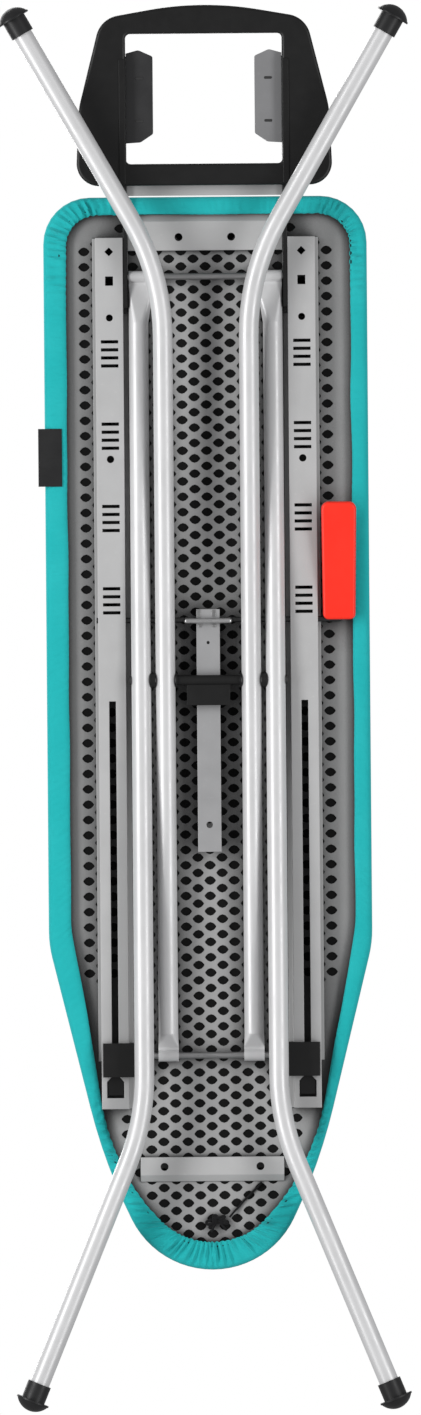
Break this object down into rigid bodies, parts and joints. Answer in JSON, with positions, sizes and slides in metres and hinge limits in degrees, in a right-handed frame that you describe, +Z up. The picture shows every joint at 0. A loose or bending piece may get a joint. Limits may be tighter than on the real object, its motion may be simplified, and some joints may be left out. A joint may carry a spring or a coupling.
{
  "type": "folding ironing board",
  "caption": "Folding ironing board with mesh top, padded cover, iron rest, crossed tube legs on slide rails, height lever and toothed lock rack, stored folded.",
  "frame": {"origin": "centre of the bounding box's base: on the floor, midway between the left and right feet and between the two ends of the folded board", "axes": "+Z up out of the ironing surface, +Y from the iron rest towards the nose, +X towards the side with the height lever"},
  "size_m": [0.4378, 1.5034, 0.0856],
  "materials": {
    "panel_paint": "satin grey enamel",
    "silver_paint": "satin silver enamel",
    "tube_silver": "gloss silver enamel",
    "bright_steel": "zinc plated",
    "dark_steel": "black oxide",
    "black_paint": "satin black enamel",
    "grey_paint": "satin grey enamel",
    "black_plastic": "fine texture",
    "white_plastic": "moulded nylon",
    "red_plastic": "soft gloss",
    "black_rubber": "matte",
    "cotton": "plain weave",
    "felt": "felt",
    "label_cloth": "woven tape",
    "black_cord": "braided"
  },
  "bodies": {
    "board": {"mesh_panel": "panel_paint", "edge_rim": "panel_paint", "felt_pad": "felt", "cover": "cotton", "woven_label": "label_cloth", "drawstring_loop": "black_cord", "drawstring_bow": "black_cord", "drawstring_tail": "black_cord", "rail_left": "silver_paint", "rail_right": "silver_paint", "tail_cross_plate": "silver_paint", "nose_cross_plate": "silver_paint", "hinge_axle": "bright_steel", "hinge_axle_caps": "bright_steel", "lever_rod_bushes": "white_plastic", "iron_rest_frame": "black_plastic", "iron_rest_arm_left": "black_paint", "iron_rest_arm_right": "black_paint", "iron_rest_plate_left": "grey_paint", "iron_rest_plate_right": "grey_paint", "iron_rest_crossbar": "silver_paint", "iron_rest_screws": "dark_steel", "iron_rest_rivets": "dark_steel"},
    "outer_legs": {"outer_leg_left": "tube_silver", "outer_leg_right": "tube_silver", "outer_foot_left": "black_rubber", "outer_foot_right": "black_rubber", "cross_axle": "bright_steel", "cross_axle_caps": "dark_steel", "saddle_washer_left": "black_plastic", "saddle_washer_right": "black_plastic"},
    "inner_legs": {"inner_leg_left": "tube_silver", "inner_leg_right": "tube_silver", "inner_foot_left": "black_rubber", "inner_foot_right": "black_rubber", "slider_axle": "bright_steel", "centre_clip": "black_plastic"},
    "slide_shoes": {"slide_shoe_left": "black_plastic", "slide_shoe_right": "black_plastic"},
    "height_lever": {"lever_rod": "bright_steel", "lever_handle": "red_plastic", "lever_spring": "bright_steel"},
    "lock_rack": {"lock_rack": "silver_paint"}
  },
  "joints": [
    {"name": "leg_fold", "type": "hinge", "parent": "board", "child": "outer_legs", "pos_m": [0, -0.4612, 0.06661], "axis": [-1, 0, 0], "range_deg": [0, 44]},
    {"name": "leg_cross", "type": "hinge", "parent": "outer_legs", "child": "inner_legs", "pos_m": [0, -0.0284, 0.04911], "axis": [1, 0, 0], "range_deg": [0, 93.08]},
    {"name": "shoe_pivot", "type": "hinge", "parent": "inner_legs", "child": "slide_shoes", "pos_m": [0, 0.374, 0.06677], "axis": [-1, 0, 0], "range_deg": [0, 49.08]},
    {"name": "lever_pull", "type": "hinge", "parent": "board", "child": "height_lever", "pos_m": [0, -0.093, 0.06661], "axis": [-1, 0, 0], "range_deg": [-6, 10], "stiffness_Nm_per_rad": 4},
    {"name": "rack_swing", "type": "hinge", "parent": "board", "child": "lock_rack", "pos_m": [0, -0.101, 0.06911], "axis": [-1, 0, 0], "range_deg": [-1.3, 2.1]}
  ],
  "couplings": [
    {"joint": "leg_cross", "follows": "leg_fold", "ratio": 2.104},
    {"joint": "shoe_pivot", "follows": "leg_fold", "ratio": 1.104},
    {"joint": "rack_swing", "follows": "lever_pull", "ratio": 0.2}
  ]
}
